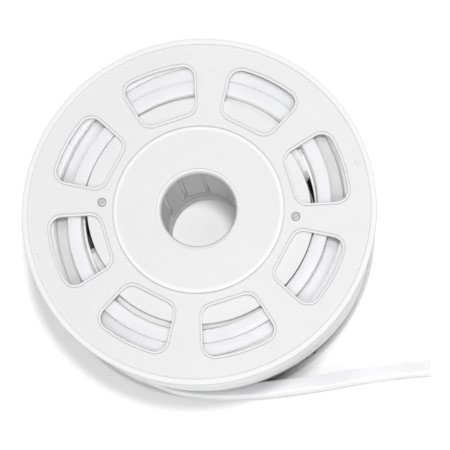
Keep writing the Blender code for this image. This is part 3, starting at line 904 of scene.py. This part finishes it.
def add_screw_seats_and_nubs(work, radius, screws):
    """The floors that the screw heads rest on, and the nubs left where the moulding's gates were cut."""
    inside = REEL_HEIGHT - FLANGE_DEPTH
    plate = REEL_HEIGHT - RAISED_HEIGHT
    wall = COUNTERBORE_RADIUS + COUNTERBORE_WALL
    seat = plate - COUNTERBORE_DEPTH
    ring = [
        (SCREW_HOLE_RADIUS, inside, 0.0),
        (wall, inside, 0.0),
        (wall, seat, 0.0),
        (SCREW_HOLE_RADIUS, seat, 0.0),
    ]
    nub = [
        (0.0, plate - 0.0002, 0.0),
        (NUB_RADIUS, plate - 0.0002, 0.0),
        (NUB_RADIUS - 0.0002, plate + NUB_RISE, 0.0003),
        (0.0, plate + NUB_RISE - 0.0001, 0.0),
    ]
    for place in screws:
        add_turned(work, ring, SCREW_STEPS, place)
    for angle in GATE_ANGLES:
        add_turned(work, nub, NUB_STEPS, polar(GATE_SHARE * radius, angle))


def flange_piece(name, radius, upper, replaced):
    """A flange, built as the upper one and mirrored for the lower one."""
    screws = [polar(SCREW_CIRCLE_RADIUS, angle) for angle in SCREW_ANGLES]
    holes = [circle(place, COUNTERBORE_RADIUS, SCREW_STEPS) for place in screws]
    windows = [FIRST_WINDOW_ANGLE + count * math.tau / WINDOW_COUNT for count in range(WINDOW_COUNT)]
    work = bmesh.new()
    # Painted highlight on each point, read by the plastic material.
    highlight_layer = work.verts.layers.float.new("painted_edge_highlight")
    add_plate(work, radius, windows, holes)
    add_raised_edges(work, radius, windows, highlight_layer)
    add_screw_seats_and_nubs(work, radius, screws)
    if not upper:
        for vertex in work.verts:
            vertex.co.z = REEL_HEIGHT - vertex.co.z
    bmesh.ops.remove_doubles(work, verts=work.verts, dist=0.0000005)
    return finished_piece(name, work, REEL_PLASTIC, [replaced])


flange_piece("top_flange_moulding", TOP_FLANGE_RADIUS, True, "top_flange")
flange_piece("bottom_flange_moulding", BOTTOM_FLANGE_RADIUS, False, "bottom_flange")

# The screws: zinc-plated steel, self-tapping, with a low domed head and a cross recess. Each is driven
# through a flange into the drum and sits sunk below the flange's face.
HEAD_RADIUS = 0.0024
HEAD_HEIGHT = 0.0009
SHANK_RADIUS = 0.0014
SCREW_LENGTH = 0.0100
CROSS_LENGTH = 0.0022
CROSS_WIDTH = 0.0005
CROSS_DEPTH = 0.0003
CROSS_TURNS = {"top": math.radians(27.0), "bottom": math.radians(61.0)}
SEAT_CLEARANCE = 0.00015
NEAR_AXIS = 0.00001
STEEL_COLOUR = (0.66, 0.66, 0.67)


def steel_material():
    """Zinc plate on steel: matt, with a fine grain and a cloudy bloom."""
    material, tree, shader = new_material("Screw zinc plate")
    place = shader_node(tree, "TexCoord").outputs["Object"]
    bloom = shader_node(tree, "TexNoise", {"Vector": place, "Scale": 900.0, "Detail": 4.0})
    plated = colour_ramp(
        tree,
        bloom.outputs["Fac"],
        [(0.3, tuple(0.8 * part for part in STEEL_COLOUR)), (0.7, STEEL_COLOUR)],
    )
    tree.links.new(plated, shader.inputs["Base Color"])
    shader.inputs["Metallic"].default_value = 1.0
    dull = mapped(tree, bloom.outputs["Fac"], 0.3, 0.7, 0.64, 0.78)
    tree.links.new(dull, shader.inputs["Roughness"])
    grain = shader_node(tree, "Group", {"Grains per metre": 9000.0}, node_tree=FINE_GRAIN)
    marks = shader_node(
        tree, "Bump", {"Height": grain.outputs["Height"], "Strength": 0.3, "Distance": 0.00002}
    )
    tree.links.new(marks.outputs["Normal"], shader.inputs["Normal"])
    return material


SCREW_STEEL = steel_material()


def cross_cutter(place, top, turn):
    """Two crossed blades, sunk into a screw's head."""
    work = bmesh.new()
    for size in ((CROSS_LENGTH, CROSS_WIDTH), (CROSS_WIDTH, CROSS_LENGTH)):
        blade = bmesh.ops.create_cube(work, size=1.0)["verts"]
        bmesh.ops.scale(work, vec=(*size, 2 * CROSS_DEPTH), verts=blade)
    cutter = cutter_piece("cross_cutter", work)
    cutter.location = (place.x, place.y, top)
    cutter.rotation_euler.z = turn
    return cutter


def screw_piece(name, place, end):
    seat = REEL_HEIGHT - RAISED_HEIGHT - COUNTERBORE_DEPTH + SEAT_CLEARANCE
    tip = seat - SCREW_LENGTH
    outline = [
        (NEAR_AXIS, tip, 0.0),
        (SHANK_RADIUS, tip + SHANK_RADIUS, 0.0),
        (SHANK_RADIUS, seat, 0.0),
        (HEAD_RADIUS, seat, 0.0),
        (HEAD_RADIUS, seat + HEAD_HEIGHT / 2, 0.0003),
        (HEAD_RADIUS * 0.7, seat + HEAD_HEIGHT, 0.0004),
        (NEAR_AXIS, seat + HEAD_HEIGHT, 0.0),
    ]
    work = bmesh.new()
    add_turned(work, outline, SCREW_STEPS, place)
    top = seat + HEAD_HEIGHT
    if end == "bottom":
        top = REEL_HEIGHT - top
        for vertex in work.verts:
            vertex.co.z = REEL_HEIGHT - vertex.co.z
    piece = finished_piece(name + "_zinc", work, SCREW_STEEL, [name])
    cut_away(piece, cross_cutter(place, top, CROSS_TURNS[end]))


for end in ("top", "bottom"):
    for count, screw_angle in enumerate(SCREW_ANGLES):
        screw_piece(f"{end}_screw_{count + 1}", polar(SCREW_CIRCLE_RADIUS, screw_angle), end)

# The studio: a seamless pale floor, a soft light almost straight above, a little to the right, a weaker
# one from the far side, a broad one from the near side, and an even white surround.
FLOOR_SIZE = 6.0
FLOOR_HEIGHT = -0.0002


def floor_material():
    material, tree, shader = new_material("Pale floor")
    place = shader_node(tree, "TexCoord").outputs["Object"]
    paper = shader_node(tree, "TexNoise", {"Vector": place, "Scale": 300.0, "Detail": 3.0})
    tone = colour_ramp(tree, paper.outputs["Fac"], [(0.3, 0.80), (0.7, 0.82)])
    tree.links.new(tone, shader.inputs["Base Color"])
    shader.inputs["Roughness"].default_value = 0.9
    shader.inputs["Specular IOR Level"].default_value = 0.1
    shader.inputs["Emission Color"].default_value = (1.0, 1.0, 1.0, 1.0)
    shader.inputs["Emission Strength"].default_value = 0.13
    return material


floor_work = bmesh.new()
bmesh.ops.create_grid(floor_work, x_segments=1, y_segments=1, size=FLOOR_SIZE / 2)
floor_mesh = bpy.data.meshes.new("floor")
floor_work.to_mesh(floor_mesh)
floor_work.free()
floor_mesh.materials.append(floor_material())
floor = bpy.data.objects.new("floor", floor_mesh)
floor.location.z = FLOOR_HEIGHT
bpy.context.collection.objects.link(floor)


def soft_light(name, place, size, power):
    """A round soft light aimed at the reel."""
    light = bpy.data.lights.new(name, "AREA")
    light.shape = "DISK"
    light.size = size
    light.energy = power
    holder = bpy.data.objects.new(name, light)
    holder.location = place
    holder.rotation_euler = (-Vector(place)).to_track_quat("-Z", "Y").to_euler()
    bpy.context.collection.objects.link(holder)


soft_light("overhead_light", (0.30, 0.06, 2.60), 0.36, 40.0)
soft_light("far_side_light", (0.10, 1.30, 2.30), 0.30, 10.5)
soft_light("near_side_light", (0.30, -2.00, 2.40), 1.80, 36.0)

world = bpy.data.worlds.new("surround")
world.use_nodes = True
surround = world.node_tree.nodes["Background"]
surround.inputs["Color"].default_value = (1.0, 1.0, 1.0, 1.0)
surround.inputs["Strength"].default_value = 0.30
bpy.context.scene.world = world
bpy.context.scene.view_settings.view_transform = "Standard"
